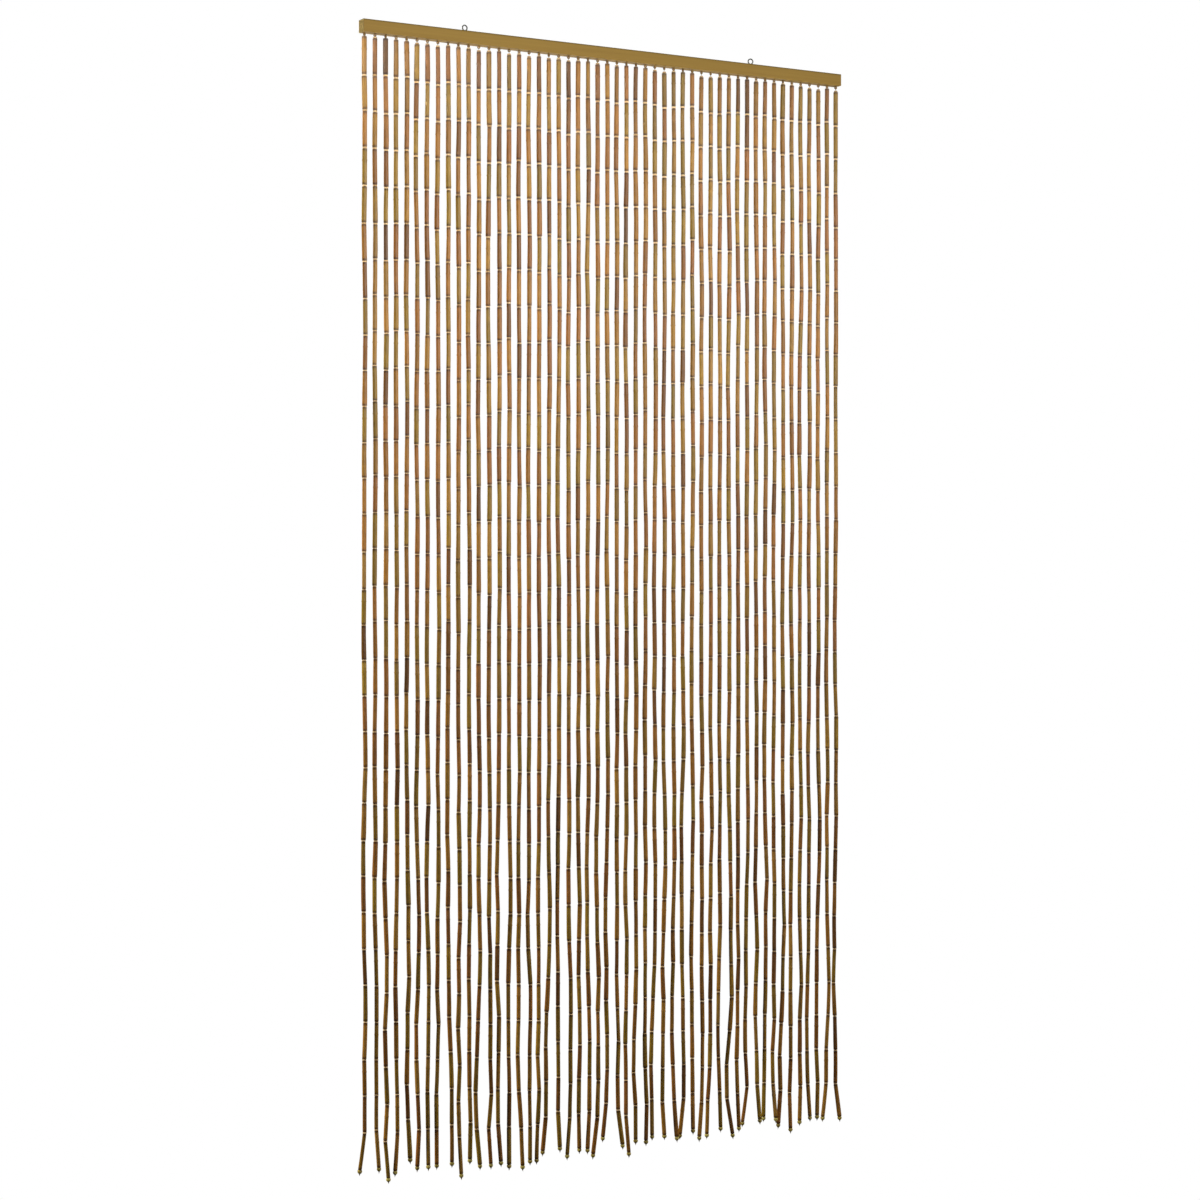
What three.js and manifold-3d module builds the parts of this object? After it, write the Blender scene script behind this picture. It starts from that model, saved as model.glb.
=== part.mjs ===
// Bamboo door curtain: a painted wooden batten that hangs from two screw eyes and carries fifty
// strands of short bamboo pieces. Millimetres, +Z up, +X along the batten, the front towards -Y.
// The origin is midway between the centres of the two rings that the curtain hangs from.
import * as THREE from 'three';
import { mergeVertices } from 'three/addons/utils/BufferGeometryUtils.js';
import Module from 'manifold-3d';

const wasm = await Module();
wasm.setup();

// Pieces that touch keep this gap
const fitGap = 0.3;

// Batten
const battenLength = 1000;
const battenHeight = 22;
const battenDepth = 20;
const battenChamfer = 0.8;

// Screw eyes in the batten's top, which the curtain hangs from
const eyeSpacing = 600;
const eyeRingRadius = 4.65;
const eyeWireRadius = 1.15;
const eyeShankRadius = 1.2;
const eyeShankDepth = 15;
const eyeTipLength = 3;
const eyeSides = 10;
const eyeRingSteps = 28;
const screwEyes = [
  { name: 'screw_eye_left', side: -1, turnDegrees: 4 },
  { name: 'screw_eye_right', side: 1, turnDegrees: -13 },
];

// Strip in the batten's underside that the strands are rooted in, in two halves
const stripDepth = 4;
const stripHeight = 3;
const grooveEndWall = 2;

// Strands
const strandCount = 50;
const strandInset = 6;
const strandDrop = 2000;
const rootLength = 7.5;
const rootVariation = 6;
const rootDiameter = 2.4;
const shoulderHeight = 1.5;

// Bamboo pieces in a strand: a step is one piece and the small bead under it
const pieceCount = 31;
const stepVariation = 3;
const topDiameter = 8.6;
const bottomDiameter = 8;

// End bead under the last piece, with the knot below it
const endRings = [
  { below: 1, diameter: 3 },
  { below: 5, diameter: 8.2 },
  { below: 9, diameter: 5 },
  { below: 13, diameter: 2 },
];

// How a strand strays from its plumb line: each joint keeps part of the lean above it, is pulled
// back by its weight and gets a random kick, small in the upper share that hangs calm
const leanKept = 0.35;
const plumbPull = 0.45;
const upperKick = 0.95;
const lowerKick = 3.2;
const lastKick = 7.5;
const calmShare = 0.55;
const routeSeed = 106;

// Places that follow from the sizes
const battenTop = -(eyeRingRadius + eyeWireRadius + fitGap);
const battenBottom = battenTop - battenHeight;
const strandPitch = (battenLength - 2 * strandInset) / (strandCount - 1);
const firstStrandX = -battenLength / 2 + strandInset;
const meanRoot = rootLength + rootVariation / 3;
const endLength = endRings[endRings.length - 1].below;
const pieceStep = (strandDrop - battenHeight - meanRoot - endLength) / pieceCount;

// A three-sided piece with the same mean width, all round, as a round one of this diameter
const cornerRadiusPerDiameter = Math.PI / (3 * Math.sqrt(3));

// Finishes
const battenPaint = new THREE.MeshStandardMaterial({ color: 0x9a8347, roughness: 0.55, metalness: 0 });
const eyeSteel = new THREE.MeshStandardMaterial({ color: 0xa6a8a8, roughness: 0.35, metalness: 1 });
const bamboo = new THREE.MeshStandardMaterial({ color: 0x9c6f3c, roughness: 0.45, metalness: 0 });

// A repeatable stream of numbers from 0 to 1
function makeRandom(seed) {
  let state = seed;
  return () => {
    state = (state * 1664525 + 1013904223) % 4294967296;
    return state / 4294967296;
  };
}

// Solids to join and cut

function toSolid(geometry) {
  const plain = geometry.clone();
  plain.deleteAttribute('normal');
  plain.deleteAttribute('uv');
  const merged = mergeVertices(plain, 1e-4);
  const mesh = new wasm.Mesh({
    numProp: 3,
    vertProperties: new Float32Array(merged.attributes.position.array),
    triVerts: new Uint32Array(merged.index.array),
  });
  return new wasm.Manifold(mesh);
}

function toGeometry(solid) {
  const mesh = solid.getMesh();
  const geometry = new THREE.BufferGeometry();
  geometry.setAttribute('position', new THREE.BufferAttribute(mesh.vertProperties, 3));
  geometry.setIndex(new THREE.BufferAttribute(mesh.triVerts, 1));
  const faceted = geometry.toNonIndexed();
  faceted.computeVertexNormals();
  return faceted;
}

// A box from its lowest corner to its highest one
function boxBetween(low, high) {
  const size = new THREE.Vector3().subVectors(high, low);
  const centre = new THREE.Vector3().addVectors(low, high).multiplyScalar(0.5);
  const geometry = new THREE.BoxGeometry(size.x, size.y, size.z);
  geometry.translate(centre.x, centre.y, centre.z);
  return toSolid(geometry);
}

// A round pin along Z, pointed at its lower end
function pointedPin(radius, top, bottom, tipLength) {
  const profile = [
    new THREE.Vector2(0, bottom),
    new THREE.Vector2(radius, bottom + tipLength),
    new THREE.Vector2(radius, top),
    new THREE.Vector2(0, top),
  ];
  const geometry = new THREE.LatheGeometry(profile, eyeSides);
  geometry.rotateX(Math.PI / 2);
  return toSolid(geometry);
}

// The batten

function battenOutline() {
  const half = battenDepth / 2;
  const shape = new THREE.Shape();
  shape.moveTo(-half + battenChamfer, battenBottom);
  shape.lineTo(half - battenChamfer, battenBottom);
  shape.lineTo(half, battenBottom + battenChamfer);
  shape.lineTo(half, battenTop - battenChamfer);
  shape.lineTo(half - battenChamfer, battenTop);
  shape.lineTo(-half + battenChamfer, battenTop);
  shape.lineTo(-half, battenTop - battenChamfer);
  shape.lineTo(-half, battenBottom + battenChamfer);
  shape.closePath();
  return shape;
}

function battenBlock() {
  const geometry = new THREE.ExtrudeGeometry(battenOutline(), { depth: battenLength, bevelEnabled: false });
  const alongY = new THREE.Vector3(0, 1, 0);
  const alongZ = new THREE.Vector3(0, 0, 1);
  const alongX = new THREE.Vector3(1, 0, 0);
  geometry.applyMatrix4(new THREE.Matrix4().makeBasis(alongY, alongZ, alongX));
  geometry.translate(-battenLength / 2, 0, 0);
  return toSolid(geometry);
}

// The groove in the underside that holds the two strips
function stripGroove() {
  const halfLength = battenLength / 2 - grooveEndWall;
  const halfDepth = stripDepth / 2 + fitGap;
  const low = new THREE.Vector3(-halfLength, -halfDepth, battenBottom - fitGap);
  const high = new THREE.Vector3(halfLength, halfDepth, battenBottom + stripHeight + fitGap);
  return boxBetween(low, high);
}

function eyeHole(side) {
  const bottom = battenTop - eyeShankDepth - fitGap;
  const hole = pointedPin(eyeShankRadius + fitGap, battenTop + fitGap, bottom, eyeTipLength);
  return hole.translate([side * eyeSpacing / 2, 0, 0]);
}

function makeBatten() {
  let solid = battenBlock().subtract(stripGroove());
  for (const eye of screwEyes) {
    solid = solid.subtract(eyeHole(eye.side));
  }
  const mesh = new THREE.Mesh(toGeometry(solid), battenPaint);
  mesh.name = 'rail';
  return mesh;
}

// A screw eye, with its ring's centre at its own origin
function makeScrewEye(eye) {
  const ring = new THREE.TorusGeometry(eyeRingRadius, eyeWireRadius, eyeSides, eyeRingSteps);
  ring.rotateX(Math.PI / 2);
  const shank = pointedPin(eyeShankRadius, -eyeRingRadius, battenTop - eyeShankDepth, eyeTipLength);
  const mesh = new THREE.Mesh(toGeometry(toSolid(ring).add(shank)), eyeSteel);
  mesh.name = eye.name;
  mesh.position.x = eye.side * eyeSpacing / 2;
  mesh.rotation.z = THREE.MathUtils.degToRad(eye.turnDegrees);
  return mesh;
}

// The strands

function kickAt(piece) {
  if (piece === pieceCount) {
    return lastKick;
  }
  const restless = Math.max(0, (piece / pieceCount - calmShare) / (1 - calmShare));
  return upperKick + (lowerKick - upperKick) * restless;
}

// The joints of one strand, from its first piece's top to its last piece's foot
function strandJoints(x, random) {
  let z = battenBottom - rootLength - rootVariation * random() ** 2;
  const lean = { x: 0, y: 0 };
  const offset = { x: 0, y: 0 };
  const joints = [new THREE.Vector3(x, 0, z)];
  for (let piece = 1; piece <= pieceCount; piece += 1) {
    z -= pieceStep + stepVariation * (2 * random() - 1);
    for (const axis of ['x', 'y']) {
      const kick = kickAt(piece) * (2 * random() - 1);
      lean[axis] = leanKept * lean[axis] - plumbPull * offset[axis] + kick;
      offset[axis] += lean[axis];
    }
    joints.push(new THREE.Vector3(x + offset.x, offset.y, z));
  }
  return joints;
}

// The rings of a strand: where each is, and the diameter of the round piece that it stands for
function strandRings(x, random) {
  const joints = strandJoints(x, random);
  const rings = [
    { centre: new THREE.Vector3(x, 0, battenBottom + stripHeight / 2), diameter: rootDiameter },
    { centre: new THREE.Vector3(x, 0, joints[0].z + shoulderHeight), diameter: rootDiameter },
  ];
  joints.forEach((centre, index) => {
    const diameter = THREE.MathUtils.lerp(topDiameter, bottomDiameter, index / pieceCount);
    rings.push({ centre, diameter });
  });
  for (const { below, diameter } of endRings) {
    const centre = joints[pieceCount].clone();
    centre.z -= below;
    rings.push({ centre, diameter });
  }
  return rings;
}

// A closed three-sided tube through the rings, with a flat side towards +X
function threeSidedTube(rings) {
  const sides = 3;
  const positions = [];
  for (const ring of rings) {
    const radius = ring.diameter * cornerRadiusPerDiameter;
    for (let side = 0; side < sides; side += 1) {
      const angle = Math.PI + side * 2 * Math.PI / sides;
      positions.push(ring.centre.x + radius * Math.cos(angle));
      positions.push(ring.centre.y + radius * Math.sin(angle));
      positions.push(ring.centre.z);
    }
  }
  const faces = [0, 1, 2];
  for (let ring = 0; ring < rings.length - 1; ring += 1) {
    for (let side = 0; side < sides; side += 1) {
      const next = (side + 1) % sides;
      const upper = ring * sides + side;
      const upperNext = ring * sides + next;
      const lower = upper + sides;
      const lowerNext = upperNext + sides;
      faces.push(upper, lower, upperNext, upperNext, lower, lowerNext);
    }
  }
  const last = (rings.length - 1) * sides;
  faces.push(last, last + 2, last + 1);
  const geometry = new THREE.BufferGeometry();
  geometry.setAttribute('position', new THREE.Float32BufferAttribute(positions, 3));
  geometry.setIndex(faces);
  return toSolid(geometry);
}

// The narrow strip that a half's strands are rooted in
function rootStrip(side) {
  const outerEnd = battenLength / 2 - grooveEndWall - fitGap;
  const innerEnd = fitGap / 2;
  const ends = side < 0 ? [-outerEnd, -innerEnd] : [innerEnd, outerEnd];
  const low = new THREE.Vector3(ends[0], -stripDepth / 2, battenBottom);
  const high = new THREE.Vector3(ends[1], stripDepth / 2, battenBottom + stripHeight);
  return boxBetween(low, high);
}

function makeStrands(name, side, firstStrand, random) {
  let solid = rootStrip(side);
  for (let strand = firstStrand; strand < firstStrand + strandCount / 2; strand += 1) {
    const x = firstStrandX + strand * strandPitch;
    solid = solid.add(threeSidedTube(strandRings(x, random)));
  }
  const mesh = new THREE.Mesh(toGeometry(solid), bamboo);
  mesh.name = name;
  return mesh;
}

// The curtain, its strands from left to right so that the random numbers fall in that order
const curtain = new THREE.Group();
const random = makeRandom(routeSeed);
curtain.add(makeBatten());
for (const eye of screwEyes) {
  curtain.add(makeScrewEye(eye));
}
curtain.add(makeStrands('strands_left', -1, 0, random));
curtain.add(makeStrands('strands_right', 1, strandCount / 2, random));

export default curtain;
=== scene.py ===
# Bamboo door curtain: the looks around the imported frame, in metres.
import math

import bmesh
import bpy
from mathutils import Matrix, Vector


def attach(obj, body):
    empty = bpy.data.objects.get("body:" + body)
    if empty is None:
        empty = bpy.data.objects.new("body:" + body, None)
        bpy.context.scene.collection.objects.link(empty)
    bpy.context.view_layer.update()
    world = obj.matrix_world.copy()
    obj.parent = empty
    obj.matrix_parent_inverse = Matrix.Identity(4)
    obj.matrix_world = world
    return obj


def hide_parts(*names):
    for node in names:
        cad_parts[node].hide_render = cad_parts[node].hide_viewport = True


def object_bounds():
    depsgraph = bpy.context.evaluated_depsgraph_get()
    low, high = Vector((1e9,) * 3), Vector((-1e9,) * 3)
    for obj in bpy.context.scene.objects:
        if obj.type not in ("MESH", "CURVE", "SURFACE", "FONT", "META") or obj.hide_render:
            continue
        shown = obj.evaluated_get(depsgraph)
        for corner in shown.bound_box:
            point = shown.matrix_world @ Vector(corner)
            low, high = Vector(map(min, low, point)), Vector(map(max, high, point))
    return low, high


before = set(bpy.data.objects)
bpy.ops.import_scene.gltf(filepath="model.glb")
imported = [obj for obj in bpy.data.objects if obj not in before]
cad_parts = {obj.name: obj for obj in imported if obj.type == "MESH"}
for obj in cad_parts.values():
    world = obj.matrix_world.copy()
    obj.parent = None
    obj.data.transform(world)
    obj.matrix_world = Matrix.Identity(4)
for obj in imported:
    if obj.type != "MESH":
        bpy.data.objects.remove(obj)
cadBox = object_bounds()
scene = bpy.context.scene


# Camera and room

# stands to the left of the curtain's front, about level, at half its height
shot = {
    "place": (-2.451, -4.188, -0.984),
    "turn": 30.08,
    "dip": 0.262,
    "lens": 80.18,
    "sensor": 36.0,
}


def makeCamera():
    data = bpy.data.cameras.new("photoCamera")
    data.lens = shot["lens"]
    data.sensor_width = shot["sensor"]
    camera = bpy.data.objects.new("photoCamera", data)
    camera.location = shot["place"]
    camera.rotation_euler = (math.radians(90 - shot["dip"]), 0, math.radians(-shot["turn"]))
    scene.collection.objects.link(camera)
    scene.camera = camera


room = {
    "floorDrop": 0.09,  # the strands end this far above the floor
    "floorSize": 80.0,
    "white": (1.0, 1.0, 1.0, 1.0),
    "ambient": 0.02,
}


# white to the eye, as in the room; from below it lets the curtain show
def makeFloor():
    floorZ = cadBox[0].z - room["floorDrop"]
    half = room["floorSize"] / 2
    mesh = bpy.data.meshes.new("floor")
    corners = [(-half, -half, floorZ), (half, -half, floorZ), (half, half, floorZ), (-half, half, floorZ)]
    mesh.from_pydata(corners, [], [(0, 1, 2, 3)])
    floor = bpy.data.objects.new("floor", mesh)
    scene.collection.objects.link(floor)
    floor.visible_diffuse = False
    floor.visible_glossy = False
    floor.visible_shadow = False
    material = bpy.data.materials.new("floorWhite")
    material.use_nodes = True
    tree = material.node_tree
    tree.nodes.clear()
    pale = tree.nodes.new("ShaderNodeEmission")
    pale.inputs["Color"].default_value = room["white"]
    clear = tree.nodes.new("ShaderNodeBsdfTransparent")
    under = tree.nodes.new("ShaderNodeNewGeometry")
    mix = tree.nodes.new("ShaderNodeMixShader")
    output = tree.nodes.new("ShaderNodeOutputMaterial")
    tree.links.new(under.outputs["Backfacing"], mix.inputs["Fac"])
    tree.links.new(pale.outputs["Emission"], mix.inputs[1])
    tree.links.new(clear.outputs["BSDF"], mix.inputs[2])
    tree.links.new(mix.outputs["Shader"], output.inputs["Surface"])
    mesh.materials.append(material)


# the room is white to the eye and gives a weak, even light
def makeRoom():
    world = bpy.data.worlds.new("studio")
    scene.world = world
    world.use_nodes = True
    tree = world.node_tree
    tree.nodes.clear()
    seen = tree.nodes.new("ShaderNodeBackground")
    seen.inputs["Color"].default_value = room["white"]
    light = tree.nodes.new("ShaderNodeBackground")
    light.inputs["Color"].default_value = room["white"]
    light.inputs["Strength"].default_value = room["ambient"]
    path = tree.nodes.new("ShaderNodeLightPath")
    mix = tree.nodes.new("ShaderNodeMixShader")
    output = tree.nodes.new("ShaderNodeOutputWorld")
    tree.links.new(path.outputs["Is Camera Ray"], mix.inputs["Fac"])
    tree.links.new(light.outputs["Background"], mix.inputs[1])
    tree.links.new(seen.outputs["Background"], mix.inputs[2])
    tree.links.new(mix.outputs["Shader"], output.inputs["Surface"])


# the front lamp is near the top and leaves the strands' ends dim; the lamps to the right and
# behind on the left fill the canes' shoulders without a highlight; the small side lamp is for
# the batten's end; the low and upper strips shine up and down in narrow beams on the batten's
# underside and top, as a pale floor and ceiling would; the back lamp is for the other side
lamps = {
    "front": {
        "place": (-0.05, -1.6, -0.2),
        "aim": (-0.05, 0.0, -0.2),
        "size": (2.7, 0.5),
        "watts": 44.5,
        "beam": 180.0,
        "shine": True,
    },
    "right": {
        "place": (2.9, -1.6, -1.35),
        "aim": (0.0, 0.0, -1.35),
        "size": (1.2, 1.4),
        "watts": 58.0,
        "beam": 180.0,
        "shine": False,
    },
    "backLeft": {
        "place": (-2.4, 0.9, -0.95),
        "aim": (0.0, 0.0, -0.95),
        "size": (1.2, 1.8),
        "watts": 101.0,
        "beam": 180.0,
        "shine": False,
    },
    "side": {
        "place": (-2.6, -0.6, 0.05),
        "aim": (-0.5, 0.0, -0.01),
        "size": (0.3, 0.1),
        "watts": 0.3,
        "beam": 12.0,
        "shine": True,
    },
    "low": {
        "place": (0.0, -0.4, -2.0),
        "aim": (0.0, 0.0, -0.03),
        "size": (1.2, 0.12),
        "watts": 1.6,
        "beam": 24.0,
        "shine": False,
    },
    "above": {
        "place": (0.0, 0.0, 1.8),
        "aim": (0.0, 0.0, 0.0),
        "size": (1.2, 0.015),
        "watts": 1.2,
        "beam": 12.0,
        "shine": False,
    },
    "back": {
        "place": (0.6, 2.4, -0.4),
        "aim": (0.0, 0.0, -0.9),
        "size": (2.4, 1.2),
        "watts": 55.0,
        "beam": 180.0,
        "shine": True,
    },
}


def makeLamp(name, lamp):
    data = bpy.data.lights.new(name, "AREA")
    data.shape = "RECTANGLE"
    data.size = lamp["size"][0]
    data.size_y = lamp["size"][1]
    data.energy = lamp["watts"]
    data.spread = math.radians(lamp["beam"])
    light = bpy.data.objects.new(name, data)
    light.location = lamp["place"]
    towards = Vector(lamp["aim"]) - Vector(lamp["place"])
    light.rotation_euler = towards.to_track_quat("-Z", "Y").to_euler()
    light.visible_camera = False
    light.visible_glossy = lamp["shine"]
    scene.collection.objects.link(light)


makeCamera()
makeFloor()
makeRoom()
for lampName, lampFacts in lamps.items():
    makeLamp(lampName + "Lamp", lampFacts)
scene.view_settings.view_transform = "Standard"
print("camera, floor and lights are in place")


# Node helpers, for materials and geometry alike

def newMaterial(name):
    material = bpy.data.materials.new(name)
    material.use_nodes = True
    tree = material.node_tree
    return material, tree, tree.nodes["Principled BSDF"]


# links or fills one input, found by its name or by n and its number
def feed(node, key, value):
    isNumber = key[0] == "n" and key[1:].isdigit()
    socket = node.inputs[int(key[1:]) if isNumber else key.replace("_", " ")]
    if isinstance(value, bpy.types.NodeSocket):
        node.id_data.links.new(value, socket)
    else:
        socket.default_value = value


def addNode(tree, kind, settings=None, **inputs):
    node = tree.nodes.new(kind)
    for key, value in (settings or {}).items():
        setattr(node, key, value)
    for key, value in inputs.items():
        feed(node, key, value)
    return node


def sums(tree, operation, first, second=0.0):
    return addNode(tree, "ShaderNodeMath", {"operation": operation}, n0=first, n1=second).outputs[0]


def vectorSums(tree, operation, first, second=(0, 0, 0)):
    node = addNode(tree, "ShaderNodeVectorMath", {"operation": operation}, n0=first, n1=second)
    return node.outputs["Value"] if operation == "LENGTH" else node.outputs["Vector"]


def scaled(tree, first, factor):
    node = addNode(tree, "ShaderNodeVectorMath", {"operation": "SCALE"}, n0=first, Scale=factor)
    return node.outputs["Vector"]


def spread(tree, value, low, high, fromLow=0.0, fromHigh=1.0):
    node = addNode(tree, "ShaderNodeMapRange", None, Value=value, From_Min=fromLow, From_Max=fromHigh)
    feed(node, "To Min", low)
    feed(node, "To Max", high)
    return node.outputs["Result"]


def ramp(tree, factor, stops):
    node = addNode(tree, "ShaderNodeValToRGB", None, Fac=factor)
    elements = node.color_ramp.elements
    while len(elements) < len(stops):
        elements.new(0.5)
    for element, (place, colour) in zip(elements, stops):
        element.position = place
        element.color = (*colour, 1.0)
    return node.outputs["Color"]


def mixColour(tree, blend, factor, first, second):
    settings = {"data_type": "RGBA", "blend_type": blend}
    return addNode(tree, "ShaderNodeMix", settings, n0=factor, n6=first, n7=second).outputs[2]


def noise(tree, place, scale, detail=2.0):
    node = addNode(tree, "ShaderNodeTexNoise", None, Vector=place, Scale=scale, Detail=detail)
    return node.outputs["Fac"]


def stretched(tree, place, scale):
    return addNode(tree, "ShaderNodeMapping", None, Vector=place, Scale=scale).outputs[0]


def objectPlace(tree):
    return addNode(tree, "ShaderNodeTexCoord").outputs["Object"]


def attribute(tree, name):
    return addNode(tree, "ShaderNodeAttribute", {"attribute_name": name}).outputs["Vector"]


def partsOf(tree, value):
    return addNode(tree, "ShaderNodeSeparateXYZ", None, Vector=value).outputs


def bump(tree, shader, height, strength, distance):
    node = addNode(tree, "ShaderNodeBump", None, Height=height, Strength=strength, Distance=distance)
    tree.links.new(node.outputs[0], shader.inputs["Normal"])


# Mesh helpers

fullTurn = 2 * math.pi


def addObject(name, mesh):
    piece = bpy.data.objects.new(name, mesh)
    scene.collection.objects.link(piece)
    return piece


def removeAll(objects):
    for item in objects:
        bpy.data.objects.remove(item)


# a point attribute, from a flat list of values
def giveValues(mesh, name, values, kind="FLOAT"):
    field = "vector" if kind == "FLOAT_VECTOR" else "value"
    mesh.attributes.new(name, kind, "POINT").data.foreach_set(field, values)


# each template keeps its own space as an attribute, for a finish that turns and moves with it
def finishTemplate(name, work):
    bmesh.ops.recalc_face_normals(work, faces=work.faces)
    for face in work.faces:
        face.smooth = True
    mesh = bpy.data.meshes.new(name)
    work.to_mesh(mesh)
    work.free()
    giveValues(mesh, "own", [value for vertex in mesh.vertices for value in vertex.co], "FLOAT_VECTOR")
    return addObject(name, mesh)


# a closed turned shape about Z, from (radius, height) pairs with the top first; the rings
# numbered in creases stay sharp, so that the shading of a round end stops there
def turned(name, profile, sides, bend=0.0, creases=()):
    work = bmesh.new()
    rings = []
    half = max(abs(height) for radius, height in profile)
    for radius, height in profile:
        shift = bend * (1 - (height / half) ** 2)
        ring = []
        for side in range(sides):
            angle = fullTurn * side / sides
            corner = (shift + radius * math.cos(angle), radius * math.sin(angle), height)
            ring.append(work.verts.new(corner))
        rings.append(ring)
    for upper, lower in zip(rings, rings[1:]):
        for side in range(sides):
            after = (side + 1) % sides
            work.faces.new((upper[side], lower[side], lower[after], upper[after]))
    work.faces.new(rings[0])
    work.faces.new(rings[-1])
    for number in creases:
        for side in range(sides):
            corners = (rings[number][side], rings[number][(side + 1) % sides])
            work.edges.get(corners).smooth = False
    return finishTemplate(name, work)


# adds a closed round tube along a path, each of its rings square to the path
def addTube(work, path, radii, sides):
    path = [Vector(point) for point in path]
    side = Vector((0, 1, 0))
    rings = []
    for index, (point, radius) in enumerate(zip(path, radii)):
        ahead = path[min(index + 1, len(path) - 1)] - path[max(index - 1, 0)]
        ahead.normalize()
        side = side - ahead * side.dot(ahead)
        if side.length < 1e-6:
            side = ahead.orthogonal()
        side.normalize()
        across = ahead.cross(side)
        ring = []
        for step in range(sides):
            angle = fullTurn * step / sides
            outwards = math.cos(angle) * side + math.sin(angle) * across
            ring.append(work.verts.new(point + radius * outwards))
        rings.append(ring)
    for upper, lower in zip(rings, rings[1:]):
        for step in range(sides):
            after = (step + 1) % sides
            work.faces.new((upper[step], lower[step], lower[after], upper[after]))
    work.faces.new(rings[0])
    work.faces.new(rings[-1])


# Geometry Nodes helpers

def newTree(name, sockets):
    tree = bpy.data.node_groups.new(name, "GeometryNodeTree")
    tree.interface.new_socket("Geometry", in_out="INPUT", socket_type="NodeSocketGeometry")
    tree.interface.new_socket("Geometry", in_out="OUTPUT", socket_type="NodeSocketGeometry")
    for label, kind in sockets.items():
        tree.interface.new_socket(label, in_out="INPUT", socket_type="NodeSocket" + kind)
    given = tree.nodes.new("NodeGroupInput")
    result = tree.nodes.new("NodeGroupOutput")
    return tree, given.outputs, result.inputs["Geometry"]


# runs a tree on a starting mesh and keeps the outcome as a plain mesh
def bakeTree(name, start, tree, values):
    source = addObject(name + "Start", start)
    modifier = source.modifiers.new("nodes", "NODES")
    modifier.node_group = tree
    for item in tree.interface.items_tree:
        if item.in_out == "INPUT" and item.name in values:
            modifier[item.identifier] = values[item.name]
    bpy.context.view_layer.update()
    depsgraph = bpy.context.evaluated_depsgraph_get()
    mesh = bpy.data.meshes.new_from_object(source.evaluated_get(depsgraph), depsgraph=depsgraph)
    removeAll([source])
    mesh.name = name
    mesh.calc_loop_triangles()
    print(name, "has", len(mesh.loop_triangles), "triangles")
    return addObject(name, mesh)


def keepValue(tree, geometry, name, kind, domain, value):
    settings = {"data_type": kind, "domain": domain}
    node = addNode(tree, "GeometryNodeStoreNamedAttribute", settings, Geometry=geometry, Name=name)
    feed(node, "Value", value)
    return node.outputs["Geometry"]


def readValue(tree, name, kind):
    settings = {"data_type": kind}
    return addNode(tree, "GeometryNodeInputNamedAttribute", settings, Name=name).outputs["Attribute"]


# a random number, vector or whole number for each point; draw makes each call differ
def chance(tree, kind, seed, draw, low=None, high=None):
    node = addNode(tree, "FunctionNodeRandomValue", {"data_type": kind}, Seed=sums(tree, "ADD", seed, draw))
    place = {"FLOAT_VECTOR": 0, "FLOAT": 1, "INT": 2}[kind]
    if low is not None:
        feed(node, "n" + str(2 * place), low)
        feed(node, "n" + str(2 * place + 1), high)
    return node.outputs[place]


# makes every copy real, and gives it its finish
def dress(tree, geometry, finish, result):
    solid = addNode(tree, "GeometryNodeRealizeInstances", None, Geometry=geometry).outputs[0]
    dressed = addNode(tree, "GeometryNodeSetMaterial", None, Geometry=solid, Material=finish)
    tree.links.new(dressed.outputs[0], result)


# puts one of the templates on each point, its Z along the axis
def placeTemplates(tree, points, templates, axis, size, given, result):
    seed = given["Seed"]
    mixture = chance(tree, "FLOAT_VECTOR", seed, 0.0)
    points = keepValue(tree, points, "mixture", "FLOAT_VECTOR", "POINT", mixture)
    upright = addNode(tree, "FunctionNodeAlignRotationToVector", {"axis": "Z"}, Vector=axis).outputs[0]
    half = sums(tree, "DIVIDE", given["Turn spread"], 2.0)
    angle = chance(tree, "FLOAT", seed, 1.0, sums(tree, "MULTIPLY", half, -1.0), half)
    turn = addNode(tree, "FunctionNodeAxisAngleToRotation", None, Axis=(0, 0, 1), Angle=angle).outputs[0]
    turnNode = addNode(tree, "FunctionNodeRotateRotation", {"rotation_space": "LOCAL"}, Rotation=upright)
    feed(turnNode, "Rotate By", turn)
    kinds = tree.nodes.new("GeometryNodeGeometryToInstance")
    for template in reversed(templates):
        info = addNode(tree, "GeometryNodeObjectInfo", None, Object=template)
        tree.links.new(info.outputs["Geometry"], kinds.inputs["Geometry"])
    placed = addNode(tree, "GeometryNodeInstanceOnPoints", None, Points=points, Instance=kinds.outputs[0])
    placed.inputs["Pick Instance"].default_value = True
    feed(placed, "Instance Index", chance(tree, "INT", seed, 2.0, 0, len(templates) - 1))
    feed(placed, "Rotation", turnNode.outputs[0])
    feed(placed, "Scale", size)
    dress(tree, placed.outputs["Instances"], given["Finish"], result)


# Batten

batten = {
    "length": 1.000,
    "height": 0.022,
    "depth": 0.020,
    "ringHeight": 0.0061,  # the hanging rings' centres above its top
    "edge": 0.0007,
    "edgeSteps": 3,
    "figureScale": (3.0, 60.0, 60.0),
    "body": [(0.30, (0.17368, 0.10504, 0.02236)), (0.70, (0.19136, 0.11752, 0.026208))],
    "grainScale": (5.0, 420.0, 420.0),
    "grain": [(0.34, (0.93, 0.92, 0.90)), (0.52, (1.0, 1.0, 1.0)), (0.72, (1.03, 1.03, 1.02))],
    "ringScale": 220.0,
    "ringWander": 2.5,
    "cut": [(0.0, (0.135, 0.094, 0.028)), (1.0, (0.158, 0.110, 0.036))],
    "cutStarts": (0.4990, 0.4998),  # from the middle; the stain fades into the cut end there
    # painted shade: the batten's top edge and top face are darker and cooler
    "rim": [(0.0, (0.36, 0.38, 0.40)), (1.0, (1, 1, 1))],  # darker and cooler along the top
    "topShadeHeight": 0.0032,
    "roughness": (0.68, 0.80),
    "gloss": 0.16,
    "relief": (0.18, 0.0003),  # how strong and how deep the grain is
}
battenTop = -batten["ringHeight"]
battenBottom = battenTop - batten["height"]


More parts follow.
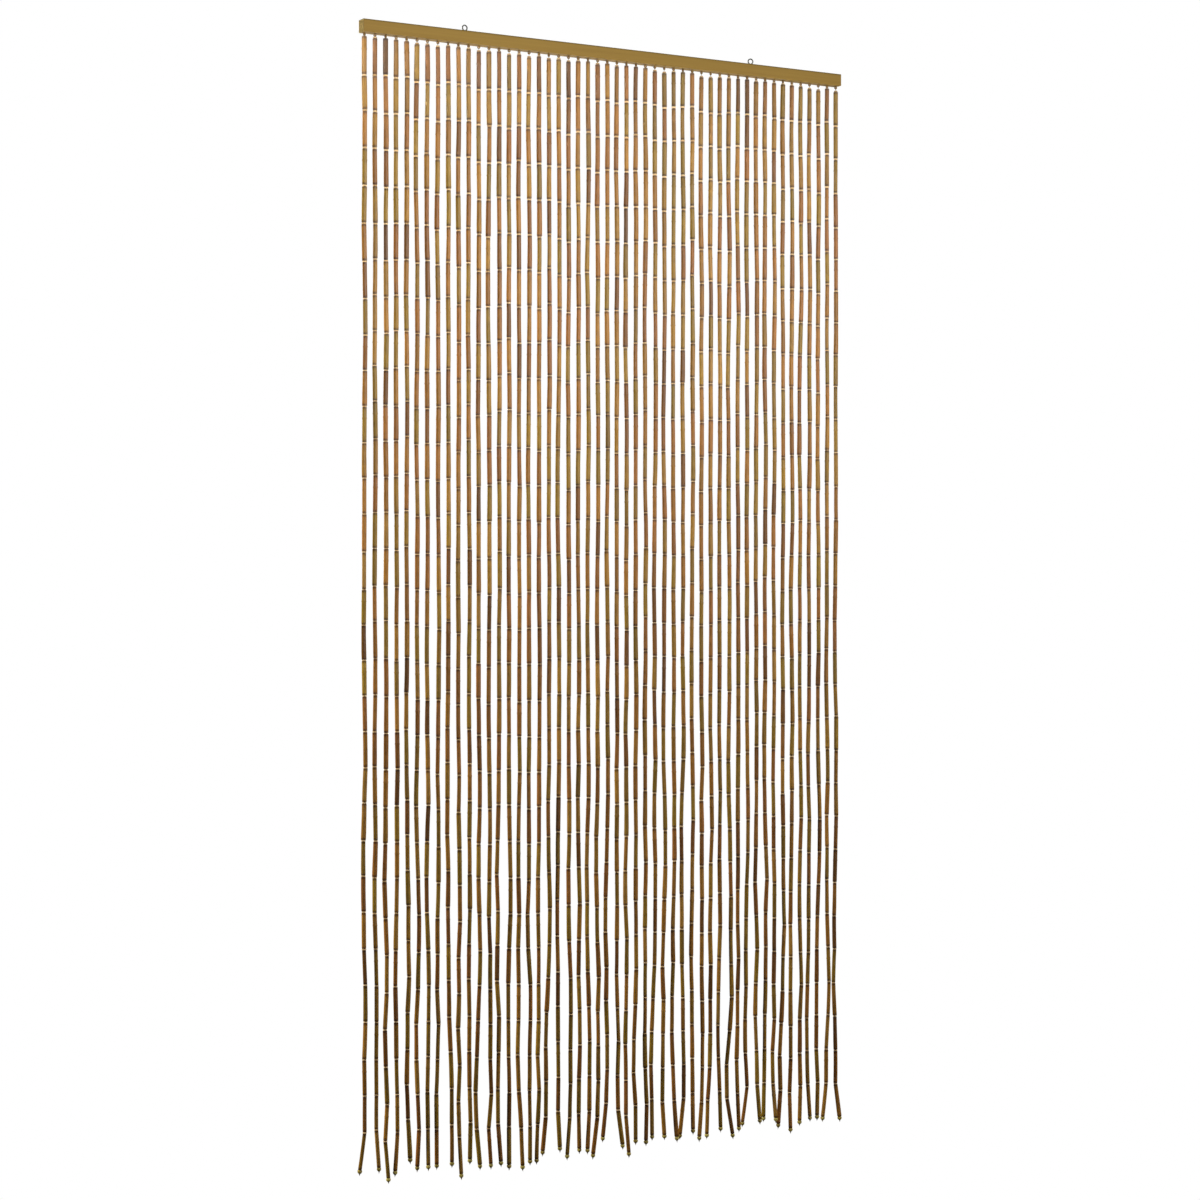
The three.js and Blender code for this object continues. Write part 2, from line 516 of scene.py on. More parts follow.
def battenStain():
    material, tree, shader = newMaterial("battenStain")
    place = objectPlace(tree)
    x, _, z = partsOf(tree, place)
    grain = noise(tree, stretched(tree, place, batten["grainScale"]), 1.0, 4.0)
    figure = noise(tree, stretched(tree, place, batten["figureScale"]), 1.0)
    body = ramp(tree, figure, batten["body"])
    lines = ramp(tree, grain, batten["grain"])
    grained = mixColour(tree, "MULTIPLY", 1.0, body, lines)
    rings = addNode(tree, "ShaderNodeTexWave", {"wave_type": "RINGS", "rings_direction": "X"}, Vector=place)
    feed(rings, "Scale", batten["ringScale"])
    feed(rings, "Distortion", batten["ringWander"])
    cut = ramp(tree, rings.outputs["Fac"], batten["cut"])
    isEnd = spread(tree, sums(tree, "ABSOLUTE", x), 0.0, 1.0, *batten["cutStarts"])
    ended = mixColour(tree, "MIX", isEnd, grained, cut)
    # painted shade along the batten's top edge and over its top face
    fromTop = sums(tree, "SUBTRACT", battenTop, z)
    rim = ramp(tree, spread(tree, fromTop, 0.0, 1.0, 0.0, batten["topShadeHeight"]), batten["rim"])
    tree.links.new(mixColour(tree, "MULTIPLY", 1.0, ended, rim), shader.inputs["Base Color"])
    tree.links.new(spread(tree, grain, *batten["roughness"]), shader.inputs["Roughness"])
    shader.inputs["Specular IOR Level"].default_value = batten["gloss"]
    bump(tree, shader, grain, *batten["relief"])
    return material


def makeBatten():
    work = bmesh.new()
    bmesh.ops.create_cube(work, size=1.0)
    size = (batten["length"], batten["depth"], batten["height"])
    bmesh.ops.scale(work, vec=size, verts=work.verts)
    bmesh.ops.translate(work, vec=(0, 0, (battenTop + battenBottom) / 2), verts=work.verts)
    for face in work.faces:
        face.smooth = True
    mesh = bpy.data.meshes.new("batten")
    work.to_mesh(mesh)
    work.free()
    mesh.materials.append(battenStain())
    piece = addObject("batten", mesh)
    rounding = piece.modifiers.new("edge", "BEVEL")
    rounding.width = batten["edge"]
    rounding.segments = batten["edgeSteps"]
    rounding.harden_normals = True
    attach(piece, "root")
    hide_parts("rail")


makeBatten()
print("batten is made")


# Screw eyes: two large ones that the curtain hangs from, and a tiny one for each strand

eyes = {
    "spacing": 0.600,
    "ringRadius": 0.00465,
    "wireRadius": 0.00115,
    "shankRadius": 0.0012,
    "shankLength": 0.0150,  # in the wood
    "turns": {"left": 4.0, "right": -13.0},
    "sides": 12,
    "steps": 44,
    "bendStart": 28.0,  # degrees round the ring from its foot, where the bend ends
    "wireEnd": 348.0,
    "bendSteps": 6,
    "pointShare": 0.25,  # of the shank
    "knee": (0.12, 0.99),  # of the ring's radius, aside and down
    "ringAbove": 0.0006,  # the ring's foot over the shank's top
    "pointRadius": 0.0002,
    "endTaper": 0.7,  # of the wire, at its cut end
    "zinc": (0.16, 0.16, 0.145),
    "roughness": 0.58,
}


# a wire eye: point, shank, a bend beside the ring's foot, then nearly all the way round
def wireEyePath(ringRadius, shankTop, shankBottom, steps, bendStart, wireEnd):
    pointTop = shankBottom + eyes["pointShare"] * (shankTop - shankBottom)
    path = [(0, 0, shankBottom), (0, 0, pointTop), (0, 0, shankTop)]
    first = math.radians(bendStart)
    start = Vector((0, 0, shankTop))
    end = Vector((ringRadius * math.sin(first), 0, -ringRadius * math.cos(first)))
    aside, down = eyes["knee"]
    knee = Vector((ringRadius * aside, 0, -ringRadius * down))
    for step in range(1, eyes["bendSteps"]):
        share = step / eyes["bendSteps"]
        path.append(start * (1 - share) ** 2 + knee * 2 * share * (1 - share) + end * share ** 2)
    for step in range(steps + 1):
        angle = math.radians(bendStart + (wireEnd - bendStart) * step / steps)
        path.append((ringRadius * math.sin(angle), 0, -ringRadius * math.cos(angle)))
    return path


# of the wire of both sizes of eye
wireFinish = {
    "mottleScale": 900.0,
    "darker": 0.78,  # share of the colour where the mottle is dark
    "smoothest": 0.07,  # under the wire's own roughness
    "roughest": 0.1,  # over it
    "relief": (0.1, 0.0001),
}


def wireSteel(name, colour, roughness):
    material, tree, shader = newMaterial(name)
    place = objectPlace(tree)
    dull = noise(tree, place, wireFinish["mottleScale"], 3.0)
    darker = [part * wireFinish["darker"] for part in colour]
    tree.links.new(ramp(tree, dull, [(0.3, darker), (0.7, colour)]), shader.inputs["Base Color"])
    low = roughness - wireFinish["smoothest"]
    high = roughness + wireFinish["roughest"]
    tree.links.new(spread(tree, dull, low, high), shader.inputs["Roughness"])
    shader.inputs["Metallic"].default_value = 1.0
    bump(tree, shader, dull, *wireFinish["relief"])
    return material


def makeHangingEyes():
    zinc = wireSteel("zincWire", eyes["zinc"], eyes["roughness"])
    for side, degrees in eyes["turns"].items():
        shankTop = -eyes["ringRadius"] - eyes["ringAbove"]
        shankBottom = battenTop - eyes["shankLength"]
        path = wireEyePath(
            eyes["ringRadius"], shankTop, shankBottom, eyes["steps"], eyes["bendStart"], eyes["wireEnd"])
        shank = [eyes["pointRadius"], eyes["shankRadius"], eyes["shankRadius"]]
        radii = shank + [eyes["wireRadius"]] * (len(path) - len(shank))
        radii[-1] *= eyes["endTaper"]
        work = bmesh.new()
        addTube(work, path, radii, eyes["sides"])
        piece = finishTemplate("hangingEye_" + side, work)
        piece.data.materials.append(zinc)
        place = -eyes["spacing"] / 2 if side == "left" else eyes["spacing"] / 2
        turn = math.radians(degrees)
        for vertex in piece.data.vertices:
            x, y, z = vertex.co
            across = place + x * math.cos(turn) - y * math.sin(turn)
            deep = x * math.sin(turn) + y * math.cos(turn)
            vertex.co = (across, deep, z)
        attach(piece, "root")
        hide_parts("screw_eye_" + side)


makeHangingEyes()
print("hanging eyes are made")


# Strand routes, by the same rule and in the same order as the solids

strand = {
    "count": 50,
    "inset": 0.006,  # of the first and last strand from the batten's ends
    "drop": 2.000,
    "root": 0.0075,  # the first joint below the batten, at the least
    "rootVariation": 0.006,
    "pieces": 31,
    "stepVariation": 0.003,
    "topDiameter": 0.0086,
    "bottomDiameter": 0.0078,
    "endLength": 0.013,
    "leanKept": 0.35,  # from each cane to the next
    "plumbPull": 0.45,  # back under the strand's top
    "upperKick": 0.00095,  # the most that a joint is out of line
    "lowerKick": 0.0032,
    "lastKick": 0.0075,
    "calmShare": 0.55,  # of the canes, before the kicks grow
    "seed": 106,
}


# a repeatable stream of numbers from 0 to 1
def numberStream(seed):
    state = seed
    while True:
        state = (state * 1664525 + 1013904223) % 4294967296
        yield state / 4294967296


def kickAt(piece):
    if piece == strand["pieces"]:
        return strand["lastKick"]
    restless = max(0.0, (piece / strand["pieces"] - strand["calmShare"]) / (1 - strand["calmShare"]))
    return strand["upperKick"] + (strand["lowerKick"] - strand["upperKick"]) * restless


# the joints of one strand, from its first cane's top to its last cane's foot
def strandJoints(x, numbers):
    meanRoot = strand["root"] + strand["rootVariation"] / 3  # a squared chance is a third on average
    step = (strand["drop"] - batten["height"] - meanRoot - strand["endLength"]) / strand["pieces"]
    z = battenBottom - strand["root"] - strand["rootVariation"] * next(numbers) ** 2
    lean = [0.0, 0.0]
    offset = [0.0, 0.0]
    joints = [Vector((x, 0, z))]
    for piece in range(1, strand["pieces"] + 1):
        z -= step + strand["stepVariation"] * (2 * next(numbers) - 1)
        for axis in (0, 1):
            kick = kickAt(piece) * (2 * next(numbers) - 1)
            lean[axis] = strand["leanKept"] * lean[axis] - strand["plumbPull"] * offset[axis] + kick
            offset[axis] += lean[axis]
        joints.append(Vector((x + offset[0], offset[1], z)))
    return joints


def allStrands():
    numbers = numberStream(strand["seed"])
    pitch = (batten["length"] - 2 * strand["inset"]) / (strand["count"] - 1)
    first = strand["inset"] - batten["length"] / 2
    return [strandJoints(first + index * pitch, numbers) for index in range(strand["count"])]


strandRoutes = allStrands()
halfCount = strand["count"] // 2
strandSides = {"left": strandRoutes[:halfCount], "right": strandRoutes[halfCount:]}
print("strand routes are laid out")


def upwards(lower, upper):
    return (upper - lower).normalized()


def gapAt(share):
    for (low, lowGap), (high, highGap) in zip(cane["gaps"], cane["gaps"][1:]):
        if share <= high:
            return lowGap + (highGap - lowGap) * (share - low) / (high - low)


# the strands' lines from cane to cane; each point knows its share of the drop and the gap there
def strandLines(name, routes, above, below):
    points = []
    edges = []
    shares = []
    for route in routes:
        line = [point.copy() for point in route]
        line[0] += upwards(route[1], route[0]) * above
        line[-1] -= upwards(route[-1], route[-2]) * below
        edges += [(index, index + 1) for index in range(len(points), len(points) + len(line) - 1)]
        points += line
        shares += [index / (len(line) - 1) for index in range(len(line))]
    mesh = bpy.data.meshes.new(name)
    mesh.from_pydata(points, edges, [])
    giveValues(mesh, "share", shares)
    giveValues(mesh, "gap", [gapAt(share) for share in shares])
    return mesh


# loose points that templates are put on: place, upward axis, share of the drop, and how tall and
# how wide against the template
def seatMesh(name, seats):
    mesh = bpy.data.meshes.new(name)
    places, axes, shares, heights, widths = zip(*seats)
    mesh.from_pydata(places, [], [])
    giveValues(mesh, "axis", [value for axis in axes for value in axis], "FLOAT_VECTOR")
    giveValues(mesh, "share", shares)
    giveValues(mesh, "tall", heights)
    giveValues(mesh, "wide", widths)
    return mesh


# how wide each template is made, for its place down the strand and by chance
def sizeAt(tree, given):
    width = spread(tree, readValue(tree, "share", "FLOAT"), given["Top diameter"], given["Bottom diameter"])
    low = sums(tree, "SUBTRACT", 1.0, given["Size spread"])
    high = sums(tree, "ADD", 1.0, given["Size spread"])
    factor = chance(tree, "FLOAT", given["Seed"], 3.0, low, high)
    return sums(tree, "DIVIDE", sums(tree, "MULTIPLY", width, factor), given["Template diameter"])


sizeSockets = {
    "Top diameter": "Float",
    "Bottom diameter": "Float",
    "Template diameter": "Float",
    "Size spread": "Float",
    "Turn spread": "Float",
    "Seed": "Int",
    "Finish": "Material",
}


# one template on each loose point
def seatTree(name, templates):
    tree, given, result = newTree(name, sizeSockets)
    loose = addNode(tree, "GeometryNodeMeshToPoints", {"mode": "VERTICES"}, Mesh=given["Geometry"])
    width = sums(tree, "MULTIPLY", sizeAt(tree, given), readValue(tree, "wide", "FLOAT"))
    height = readValue(tree, "tall", "FLOAT")
    size = addNode(tree, "ShaderNodeCombineXYZ", None, X=width, Y=width, Z=height).outputs[0]
    axis = readValue(tree, "axis", "FLOAT_VECTOR")
    placeTemplates(tree, loose.outputs[0], templates, axis, size, given, result)
    return tree


# Canes

cane = {
    "diameter": 0.0080,  # of the templates, which are scaled to each cane's place
    "length": 0.0607,
    "topRise": 0.0012,  # of the first cane above the first joint
    # the gap between two canes, where a small bead shows, by the share of the drop
    "gaps": [
        (0.0, 0.0031),
        (0.12, 0.0030),
        (0.24, 0.0019),
        (0.38, 0.0014),
        (0.55, 0.0014),
        (0.66, 0.0023),
        (1.0, 0.0023),
    ],
    "rounding": 0.0006,
    "mouth": 0.0032,  # radius where the rounding meets the cut end
    "sides": 10,
    "bend": 0.0003,  # of every other template
    "sizeSpread": 0.08,
    "seeds": {"left": 11, "right": 47},
}

# painted shade by the share of the drop, as (share, lightness): darker just under the batten and towards
# the bottom; tones are the least and the most lightness by chance
caneFinish = {
    "paintedShades": [(0.0, 0.84), (0.06, 1.0), (0.25, 1.0), (1.0, 0.88)],
    "stains": [
        (0.00, (0.120, 0.050, 0.007)),
        (0.12, (0.228, 0.088, 0.014)),
        (0.32, (0.256, 0.108, 0.013)),
        (0.58, (0.276, 0.134, 0.016)),
        (0.78, (0.232, 0.136, 0.011)),
        (0.92, (0.206, 0.114, 0.014)),
        (1.00, (0.302, 0.155, 0.025)),
    ],
    "tones": (0.80, 1.16),
    "fibres": (1100.0, 1100.0, 26.0),  # in a metre
    "streaks": [(0.30, (0.88, 0.87, 0.86)), (0.70, (1.07, 1.07, 1.07))],
    "cloudScale": 75.0,
    "clouds": [(0.35, (0.89, 0.87, 0.86)), (0.65, (1.07, 1.06, 1.05))],
    "endShade": 0.0050,  # how far the dark end stain, partly painted shade beside the beads, reaches from each end
    "endWave": 0.0006,
    "ends": [(0.0, (0.30, 0.25, 0.22)), (0.55, (0.50, 0.45, 0.40)), (1.0, (1, 1, 1))],
    "roughness": (0.46, 0.56),
    "gloss": 0.52,
    "relief": (0.20, 0.0002),
    "apart": 3.7,  # moves each cane's pattern away from the next one's
}

# (share of the radius, share of the half length) between a cane's two rounded ends
caneForms = {
    "caneStraight": [(0.985, 0.1)],
    "caneWaisted": [(0.93, 0.35), (0.945, -0.4)],
    "caneKnuckled": [(0.955, 0.42), (1.05, 0.35), (0.955, 0.28)],
    "caneTapered": [(0.96, 0.5), (1.03, -0.5)],
}


def caneTemplates():
    radius = cane["diameter"] / 2
    half = cane["length"] / 2
    templates = []
    for number, (name, middle) in enumerate(caneForms.items()):
        shoulder = half - cane["rounding"]
        top = [(cane["mouth"], half), (radius * middle[0][0], shoulder)]
        body = [(radius * width, half * place) for width, place in middle]
        foot = [(radius * middle[-1][0], -shoulder), (cane["mouth"], -half)]
        bend = cane["bend"] * (number % 2)
        templates.append(turned(name, top + body + foot, cane["sides"], bend, creases=(1, -2)))
    return templates


# a cane along each edge of the strands' lines
def caneTree(templates):
    tree, given, result = newTree("caneTree", {**sizeSockets, "Template length": "Float"})
    ends = tree.nodes.new("GeometryNodeInputMeshEdgeVertices")
    along = vectorSums(tree, "SUBTRACT", ends.outputs["Position 1"], ends.outputs["Position 2"])
    lines = keepValue(tree, given["Geometry"], "along", "FLOAT_VECTOR", "EDGE", along)
    points = addNode(tree, "GeometryNodeMeshToPoints", {"mode": "EDGES"}, Mesh=lines).outputs[0]
    axis = readValue(tree, "along", "FLOAT_VECTOR")
    width = sizeAt(tree, given)
    length = sums(tree, "SUBTRACT", vectorSums(tree, "LENGTH", axis), readValue(tree, "gap", "FLOAT"))
    height = sums(tree, "DIVIDE", length, given["Template length"])
    size = addNode(tree, "ShaderNodeCombineXYZ", None, X=width, Y=width, Z=height).outputs[0]
    placeTemplates(tree, points, templates, axis, size, given, result)
    return tree


# how light a cane or bead is: painted shade for its place down the strand, darker just under the batten and
# towards the bottom, times a tone by chance
def paintedShadeAndTone(tree, paintedShades, tone, tones):
    share = partsOf(tree, attribute(tree, "share"))[0]
    down = ramp(tree, share, [(place, (level, level, level)) for place, level in paintedShades])
    return sums(tree, "MULTIPLY", down, spread(tree, tone, *tones))


def caneStain():
    material, tree, shader = newMaterial("caneStain")
    mixture = attribute(tree, "mixture")
    hue, tone, _ = partsOf(tree, mixture)
    own = attribute(tree, "own")
    level = paintedShadeAndTone(tree, caneFinish["paintedShades"], tone, caneFinish["tones"])
    toned = mixColour(tree, "MULTIPLY", 1.0, ramp(tree, hue, caneFinish["stains"]), level)
    place = vectorSums(tree, "ADD", own, scaled(tree, mixture, caneFinish["apart"]))
    fibre = noise(tree, stretched(tree, place, caneFinish["fibres"]), 1.0, 3.0)
    streaked = mixColour(tree, "MULTIPLY", 1.0, toned, ramp(tree, fibre, caneFinish["streaks"]))
    cloud = noise(tree, place, caneFinish["cloudScale"])
    clouded = mixColour(tree, "MULTIPLY", 1.0, streaked, ramp(tree, cloud, caneFinish["clouds"]))
    # dark stain at each cut end, partly painted shade where the cane meets a bead
    fromEnd = sums(tree, "SUBTRACT", cane["length"] / 2, sums(tree, "ABSOLUTE", partsOf(tree, own)[2]))
    wavy = sums(tree, "ADD", fromEnd, spread(tree, fibre, -caneFinish["endWave"], caneFinish["endWave"]))
    ends = ramp(tree, spread(tree, wavy, 0.0, 1.0, 0.0, caneFinish["endShade"]), caneFinish["ends"])
    tree.links.new(mixColour(tree, "MULTIPLY", 1.0, clouded, ends), shader.inputs["Base Color"])
    tree.links.new(spread(tree, cloud, *caneFinish["roughness"]), shader.inputs["Roughness"])
    shader.inputs["Specular IOR Level"].default_value = caneFinish["gloss"]
    bump(tree, shader, fibre, *caneFinish["relief"])
    return material


def makeCanes():
    templates = caneTemplates()
    tree = caneTree(templates)
    finish = caneStain()
    above = gapAt(0.0) / 2 + cane["topRise"]
    below = gapAt(1.0) / 2 + endBead["drop"]
    for side, routes in strandSides.items():
        lines = strandLines("caneLines", routes, above, below)
        piece = bakeTree("canes_" + side, lines, tree, {
            "Top diameter": strand["topDiameter"],
            "Bottom diameter": strand["bottomDiameter"],
            "Template diameter": cane["diameter"],
            "Template length": cane["length"],
            "Size spread": cane["sizeSpread"],
            "Turn spread": fullTurn,
            "Seed": cane["seeds"][side],
            "Finish": finish,
        })
        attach(piece, "root")
        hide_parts("strands_" + side)
    removeAll(templates)


# Small beads: one between each two canes, and one on top of each strand

bead = {
    "diameter": 0.0084,
    "bottomDiameter": 0.0077,
    "height": 0.0030,
    "inCanes": 0.0005,  # of its height, let into the two canes' ends
    "sides": 10,
    "sizeSpread": 0.06,
    "topHeight": 0.0028,  # at most; a strand that hangs high has a flatter one under its tiny eye
    "topWidth": 0.84,  # of the others
    "woods": [(0.0, (0.50, 0.31, 0.13)), (0.4, (0.66, 0.445, 0.21)), (1.0, (0.78, 0.57, 0.31))],
    "seeds": {"left": 5, "right": 71},
    # (share of the half width, share of the half height)
    "flat": [(0.72, 1.0), (0.96, 0.62), (1.0, 0.0), (0.96, -0.62), (0.72, -1.0)],
    "barrel": [(0.68, 1.0), (0.92, 0.66), (0.98, 0.0), (0.93, -0.60), (0.70, -1.0)],
}

# named as for the canes
beadFinish = {
    # painted shade: the top bead, under the batten, and the lower beads are darker
    "paintedShades": [(0.0, 0.72), (0.02, 1.0), (0.10, 1.0), (0.70, 0.84)],
    "tones": (0.85, 1.08),
    "fibres": (1500.0, 1500.0, 180.0),
    "grain": [(0.32, (0.84, 0.78, 0.70)), (0.60, (1.0, 1.0, 1.0))],
    "roughness": (0.5, 0.38),
    "relief": (0.2, 0.0002),
    "apart": 5.1,
}

# a screw eye for each strand in the batten's underside
tinyEye = {
    "ringRadius": 0.00170,
    "wireRadius": 0.00120,
    "ringDrop": 0.0030,  # ring centre below the batten
    "shankLength": 0.0040,  # in the wood
    "turnSpread": 1.3,  # radians; the rings face about the front
    "ringAbove": 0.0003,  # as for the large eyes
    "pointRadius": 0.0001,
    "sides": 6,
    "steps": 16,
    "seed": 3,
    "bronze": (0.23, 0.135, 0.045),
    "roughness": 0.50,
}

endBead = {
    "diameter": 0.0081,
    "height": 0.0070,
    "drop": 0.0010,  # its top below the strand's last joint
    "sides": 14,
    "lean": 0.6,  # how far it follows the last cane's lean
    "sizeSpread": 0.06,
    "woods": [(0.0, (0.34, 0.25, 0.05)), (0.5, (0.45, 0.36, 0.08)), (1.0, (0.55, 0.46, 0.12))],
    "seed": 23,
    "plump": [
        (0.55, 1.0),
        (0.84, 0.84),
        (0.98, 0.45),
        (1.0, 0.05),
        (0.86, -0.42),
        (0.58, -0.80),
        (0.28, -1.0),
    ],
}


# turned pale wood; woods are the tones of one lot of beads
def beadWood(name, woods):
    material, tree, shader = newMaterial(name)
    mixture = attribute(tree, "mixture")
    hue, tone, _ = partsOf(tree, mixture)
    level = paintedShadeAndTone(tree, beadFinish["paintedShades"], tone, beadFinish["tones"])
    toned = mixColour(tree, "MULTIPLY", 1.0, ramp(tree, hue, woods), level)
    place = vectorSums(tree, "ADD", attribute(tree, "own"), scaled(tree, mixture, beadFinish["apart"]))
    grain = noise(tree, stretched(tree, place, beadFinish["fibres"]), 1.0, 3.0)
    lines = ramp(tree, grain, beadFinish["grain"])
    tree.links.new(mixColour(tree, "MULTIPLY", 1.0, toned, lines), shader.inputs["Base Color"])
    tree.links.new(spread(tree, grain, *beadFinish["roughness"]), shader.inputs["Roughness"])
    bump(tree, shader, grain, *beadFinish["relief"])
    return material


def beadTemplate(name, profile, facts):
    radius = facts["diameter"] / 2
    half = facts["height"] / 2
    return turned(name, [(radius * width, half * place) for width, place in profile], facts["sides"])


def beadSeats(routes):
    eyeReach = tinyEye["ringDrop"] + tinyEye["ringRadius"] + tinyEye["wireRadius"]
    seats = []
    for route in routes:
        head = route[0] + Vector((0, 0, cane["topRise"]))
        tall = min(bead["topHeight"], battenBottom - eyeReach - head.z)
        top = head + Vector((0, 0, tall / 2))
        seats.append((top, (0, 0, 1), 0.0, tall / bead["height"], bead["topWidth"]))
        for index in range(1, len(route) - 1):
            axis = upwards(route[index + 1], route[index - 1])
            share = index / strand["pieces"]
            tall = gapAt(share) + bead["inCanes"]
            seats.append((route[index], axis, share, tall / bead["height"], 1.0))
    return seats


def makeBeads(finish):
    forms = {"beadFlat": bead["flat"], "beadBarrel": bead["barrel"]}
    templates = [beadTemplate(name, profile, bead) for name, profile in forms.items()]
    tree = seatTree("beadTree", templates)
    for side, routes in strandSides.items():
        piece = bakeTree("beads_" + side, seatMesh("beadSeats", beadSeats(routes)), tree, {
            "Top diameter": bead["diameter"],
            "Bottom diameter": bead["bottomDiameter"],
            "Template diameter": bead["diameter"],
            "Size spread": bead["sizeSpread"],
            "Turn spread": fullTurn,
            "Seed": bead["seeds"][side],
            "Finish": finish,
        })
        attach(piece, "root")
    removeAll(templates)


# the upward axis of a strand's end, part way from plumb to the last cane's lean
def endAxis(route):
    return Vector((0, 0, 1)).lerp(upwards(route[-1], route[-2]), endBead["lean"]).normalized()


def endSeats(below):
    return [(route[-1] - endAxis(route) * below, endAxis(route), 1.0, 1.0, 1.0) for route in strandRoutes]


def makeEndBeads(finish):
    template = beadTemplate("endBeadForm", endBead["plump"], endBead)
    seats = seatMesh("endSeats", endSeats(endBead["drop"] + endBead["height"] / 2))
    piece = bakeTree("endBeads", seats, seatTree("endBeadTree", [template]), {
        "Top diameter": endBead["diameter"],
        "Bottom diameter": endBead["diameter"],
        "Template diameter": endBead["diameter"],
        "Size spread": endBead["sizeSpread"],
        "Turn spread": fullTurn,
        "Seed": endBead["seed"],
        "Finish": finish,
    })
    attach(piece, "root")
    removeAll([template])


makeCanes()
makeBeads(beadWood("beadWood", bead["woods"]))
makeEndBeads(beadWood("endBeadWood", endBead["woods"]))
print("canes and beads are strung")


# Tiny screw eyes in the batten's underside, with the thread looped through each

thread = {
    "diameter": 0.0008,
    "sides": 6,
    "loopRadius": 0.0016,
    "loopSteps": 12,
    "loopSides": 5,
    "loopSplay": 0.0003,  # sideways, from the loop's start to its end
    "knotSize": 0.0008,
    "knotDepth": 0.8,  # of its size
    "knotSteps": 36,
    "knotWidth": 0.55,  # its cord's radius, as a share of the thread's diameter
    "tail": 0.0026,
    "tailDrop": 1.6,  # its top below the knot's, in knot sizes
    "tailWidths": (0.6, 0.5, 0.3),  # the same for the tail, from the top down
    # sideways, back, and the share of the tail's length down
    "tailBends": [(0, 0, 0.0), (0.0002, 0, 0.4), (0.0005, 0.0002, 1.0)],
    "seed": 31,
    "plyScale": (1800.0, 1800.0, 700.0),
    "cotton": [(0.3, (0.16, 0.11, 0.05)), (0.7, (0.30, 0.22, 0.11))],
    "roughness": 0.8,
    "relief": (0.5, 0.0002),
}
tinyRingFoot = -tinyEye["ringDrop"] - tinyEye["ringRadius"]  # from the batten's underside


def eyeSeats():
    return [((route[0].x, 0, battenBottom), (0, 0, 1), 0.0, 1.0, 1.0) for route in strandRoutes]


# copies of one form at its own size, on seats
def seatPiece(name, template, seats, finish, seed, turnSpread):
    piece = bakeTree(name, seatMesh(name + "Seats", seats), seatTree(name + "Tree", [template]), {
        "Top diameter": 1.0,
        "Bottom diameter": 1.0,
        "Template diameter": 1.0,
        "Size spread": 0.0,
        "Turn spread": turnSpread,
        "Seed": seed,
        "Finish": finish,
    })
    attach(piece, "root")
    removeAll([template])


def makeTinyEyes():
    shankTop = -tinyEye["ringRadius"] - tinyEye["ringAbove"]
    shankBottom = -tinyEye["ringDrop"] - tinyEye["shankLength"]
    path = wireEyePath(
        tinyEye["ringRadius"], shankTop, shankBottom, tinyEye["steps"], eyes["bendStart"], eyes["wireEnd"])
    hung = [(x, y, -z - tinyEye["ringDrop"]) for x, y, z in path]
    work = bmesh.new()
    radii = [tinyEye["pointRadius"]] + [tinyEye["wireRadius"]] * (len(hung) - 1)
    addTube(work, hung, radii, tinyEye["sides"])
    template = finishTemplate("tinyEyeForm", work)
    dull = wireSteel("bronzedWire", tinyEye["bronze"], tinyEye["roughness"])
    seatPiece("tinyEyes", template, eyeSeats(), dull, tinyEye["seed"], tinyEye["turnSpread"])


def threadCotton():
    material, tree, shader = newMaterial("threadCotton")
    place = objectPlace(tree)
    ply = noise(tree, stretched(tree, place, thread["plyScale"]), 1.0)
    tree.links.new(ramp(tree, ply, thread["cotton"]), shader.inputs["Base Color"])
    shader.inputs["Roughness"].default_value = thread["roughness"]
    bump(tree, shader, ply, *thread["relief"])
    return material


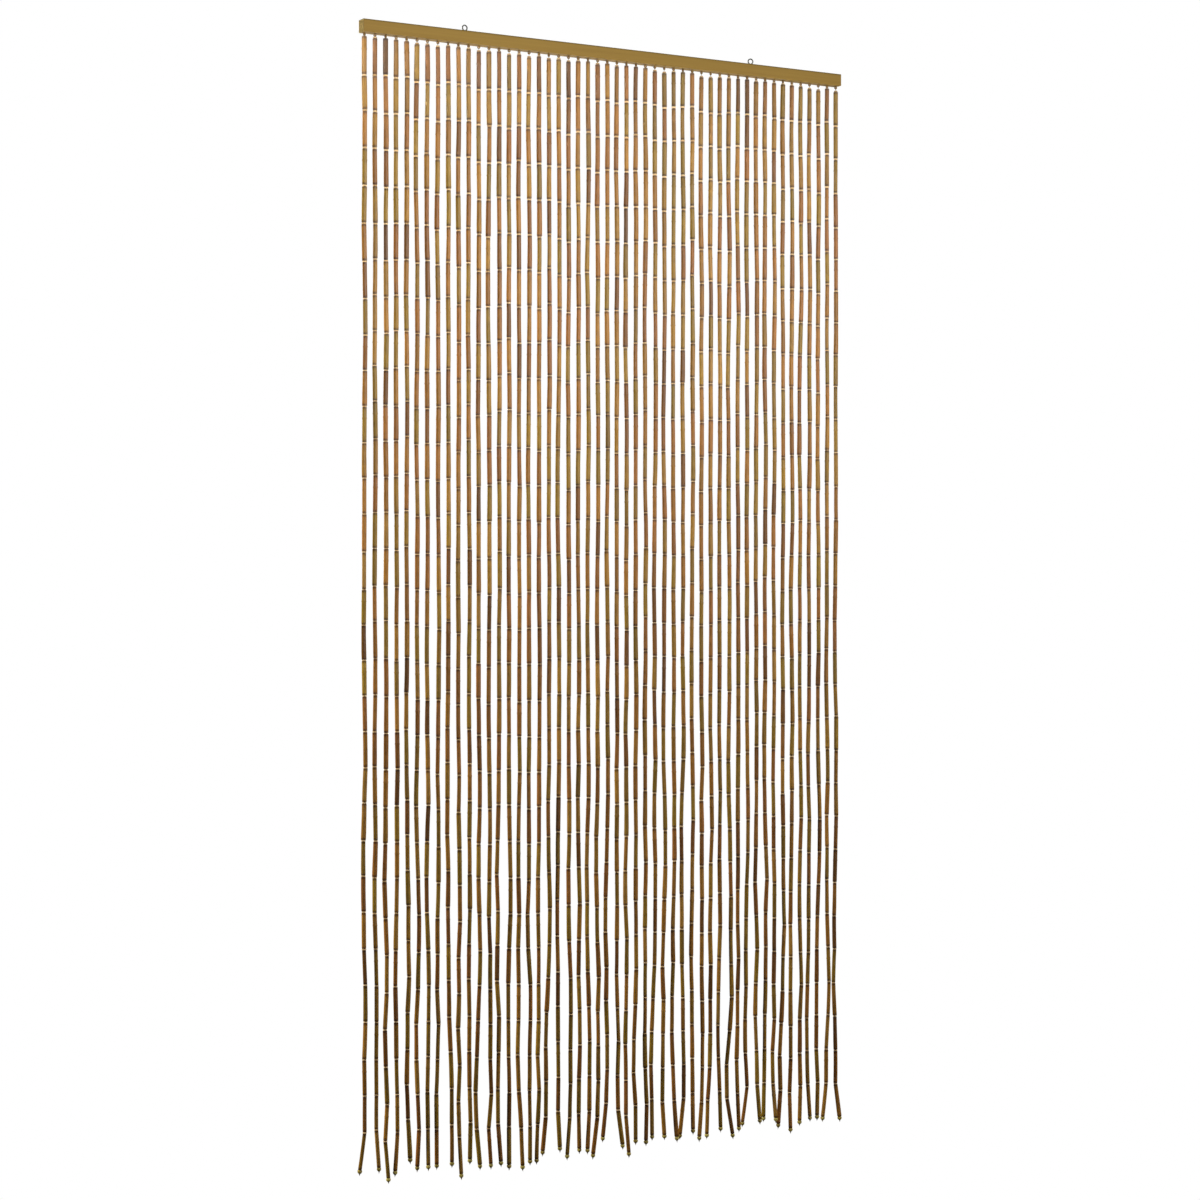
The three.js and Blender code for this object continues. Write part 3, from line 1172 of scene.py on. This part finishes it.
# the thread runs from the tiny eye down through every cane and bead to the end knot
def makeThreads(finish):
    tree, given, result = newTree("threadTree", {"Diameter": "Float", "Sides": "Int", "Finish": "Material"})
    lines = addNode(tree, "GeometryNodeMeshToCurve", None, Mesh=given["Geometry"]).outputs[0]
    radius = sums(tree, "DIVIDE", given["Diameter"], 2.0)
    ring = addNode(tree, "GeometryNodeCurvePrimitiveCircle", None, Resolution=given["Sides"], Radius=radius)
    tube = addNode(tree, "GeometryNodeCurveToMesh", None, Curve=lines, Profile_Curve=ring.outputs[0])
    tube.inputs["Fill Caps"].default_value = True
    dress(tree, tube.outputs[0], given["Finish"], result)
    start = battenBottom + tinyRingFoot - thread["loopRadius"]
    routes = [[Vector((route[0].x, 0, start))] + route for route in strandRoutes]
    lines = strandLines("threadLines", routes, 0.0, endBead["drop"] + endBead["height"])
    piece = bakeTree("threads", lines, tree, {
        "Diameter": thread["diameter"],
        "Sides": thread["sides"],
        "Finish": finish,
    })
    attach(piece, "root")


# a round of thread through the foot of a tiny eye's ring
def threadLoop():
    work = bmesh.new()
    path = []
    for step in range(thread["loopSteps"] + 1):
        share = step / thread["loopSteps"]
        aside = thread["loopSplay"] * (share - 0.5)
        deep = thread["loopRadius"] * math.sin(fullTurn * share)
        down = thread["loopRadius"] * math.cos(fullTurn * share)
        path.append((aside, deep, tinyRingFoot - down))
    addTube(work, path, [thread["diameter"] / 2] * len(path), thread["loopSides"])
    return finishTemplate("threadLoopForm", work)


# an overhand knot, hanging under its origin, with a short tail
def endKnot():
    work = bmesh.new()
    size = thread["knotSize"]
    reach = 2.6  # of the curve below, up, down and to each side
    path = []
    for step in range(thread["knotSteps"]):
        angle = fullTurn * (step + 0.5) / thread["knotSteps"]
        across = math.sin(angle) + 2 * math.sin(2 * angle)
        deep = math.sin(3 * angle)
        down = math.cos(angle) - 2 * math.cos(2 * angle)
        path.append((size * across / reach, size * deep * thread["knotDepth"], size * down / reach - size))
    addTube(work, path, [thread["diameter"] * thread["knotWidth"]] * len(path), thread["sides"])
    tailTop = -size * thread["tailDrop"]
    tail = [(aside, back, tailTop - share * thread["tail"]) for aside, back, share in thread["tailBends"]]
    addTube(work, tail, [thread["diameter"] * share for share in thread["tailWidths"]], thread["sides"])
    return finishTemplate("endKnotForm", work)


makeTinyEyes()
cotton = threadCotton()
makeThreads(cotton)
seatPiece("threadLoops", threadLoop(), eyeSeats(), cotton, tinyEye["seed"], tinyEye["turnSpread"])
knotDrop = endBead["drop"] + endBead["height"]
seatPiece("endKnots", endKnot(), endSeats(knotDrop), cotton, thread["seed"], fullTurn)
print("eyes, threads and knots are made")
